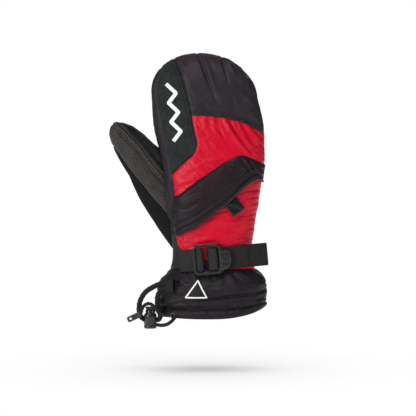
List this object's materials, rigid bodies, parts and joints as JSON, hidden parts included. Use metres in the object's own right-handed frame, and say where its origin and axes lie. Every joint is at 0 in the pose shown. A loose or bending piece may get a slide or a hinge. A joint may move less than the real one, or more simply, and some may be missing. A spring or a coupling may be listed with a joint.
{
  "type": "ski mitten",
  "caption": "Insulated right-hand ski mitten with a gauntlet cuff, back-of-hand zip pocket under a flap, wrist strap with ladder-lock buckle, grip palm, and a hem drawcord with cord lock.",
  "frame": {"origin": "middle of the hand opening at the lowest point of the hem, where the wearer's arm comes in", "axes": "+Z to the fingertips, -Y out of the back of the hand, +Y out of the palm, -X to the thumb side"},
  "size_m": [0.1824, 0.0791, 0.3175],
  "materials": {
    "black_nylon": "matt coated nylon",
    "red_nylon": "satin coated nylon",
    "suede": "napped synthetic suede",
    "grip": "embossed polyurethane",
    "softshell": "matt knit-faced softshell",
    "piping": "matt binding tape",
    "wadding": "soft polyester wadding",
    "membrane": "smooth film laminate",
    "fleece": "brushed fleece",
    "webbing": "woven webbing",
    "plastic": "moulded, fine texture",
    "cord": "braided",
    "elastic": "woven elastic",
    "thread": "white embroidery",
    "steel": "satin"
  },
  "bodies": {
    "hand": {"fingertip_panel": "black_nylon", "index_patch": "suede", "upper_back_panel": "red_nylon", "lower_back_panel": "red_nylon", "index_gusset": "black_nylon", "palm_panel": "grip", "palm_heel_panel": "softshell", "palm_grip_patch": "grip", "waterproof_membrane": "membrane", "insulation_back": "wadding", "insulation_palm": "wadding", "fleece_lining": "fleece", "pocket_bag": "membrane", "wrist_elastic": "elastic", "cuff_back_panel": "black_nylon", "cuff_palm_panel": "black_nylon", "hem_channel": "black_nylon", "cuff_lining": "fleece", "hem_facing": "black_nylon", "hem_drawcord": "elastic", "pocket_flap": "black_nylon", "flap_binding": "piping", "fingertip_piping": "piping", "patch_mark": "thread", "cuff_emblem": "thread", "zip_tape_upper": "piping", "zip_tape_lower": "piping", "zip_coil": "plastic", "zip_stop_left": "steel", "zip_stop_right": "steel", "strap_anchor": "webbing", "strap_load": "webbing", "leash_loop": "webbing", "leash_cord_outer": "cord", "leash_cord_inner": "cord", "drawcord_lower": "cord", "drawcord_upper": "cord", "drawcord_tab": "plastic", "cord_eyelet": "steel"},
    "thumb": {"thumb_upper_panel": "grip", "thumb_middle_panel": "grip", "thumb_side_panel": "softshell", "thumb_membrane": "membrane", "thumb_insulation": "wadding", "thumb_lining": "fleece"},
    "zip_slider": {"zip_slider": "steel"},
    "zip_pull": {"zip_pull_tab": "webbing"},
    "buckle": {"buckle_frame": "plastic", "strap_loop": "webbing"},
    "strap_tail": {"strap_tail": "webbing"},
    "cord_lock": {"cord_lock_barrel": "plastic", "cord_lock_spring": "steel"},
    "plunger": {"cord_lock_plunger": "plastic"}
  },
  "joints": [
    {"name": "thumb_flex", "type": "hinge", "parent": "hand", "child": "thumb", "pos_m": [-0.06, 0.011, 0.152], "axis": [0, 1, 0], "range_deg": [-12, 8], "stiffness_Nm_per_rad": 0.3},
    {"name": "zip_slide", "type": "hinge", "parent": "hand", "child": "zip_slider", "pos_m": [0.005, 0.1654, 0.13465], "axis": [-0.6088, 0, 0.7934], "range_deg": [-11.6, 3.5]},
    {"name": "zip_pull_lift", "type": "hinge", "parent": "zip_slider", "child": "zip_pull", "pos_m": [0.02529, -0.03295, 0.13257], "axis": [-0.7911, -0.0746, -0.6071], "range_deg": [0, 60]},
    {"name": "buckle_tilt", "type": "hinge", "parent": "hand", "child": "buckle", "pos_m": [-0.01384, -0.0352, 0.06724], "axis": [0.0906, 0, -0.9959], "range_deg": [0, 15]},
    {"name": "strap_adjust", "type": "slide", "parent": "hand", "child": "strap_tail", "axis": [0.9919, 0.0896, 0.0903], "range_m": [0, 0.015]},
    {"name": "cord_lock_slide", "type": "slide", "parent": "hand", "child": "cord_lock", "axis": [0, 0, 1], "range_m": [0, 0.012], "deforming": ["leash_cord_outer", "leash_cord_inner", "drawcord_lower"]},
    {"name": "plunger_press", "type": "slide", "parent": "cord_lock", "child": "plunger", "axis": [0, 0, -1], "range_m": [0, 0.004], "stiffness_N_per_m": 600, "deforming": ["cord_lock_spring"]}
  ]
}
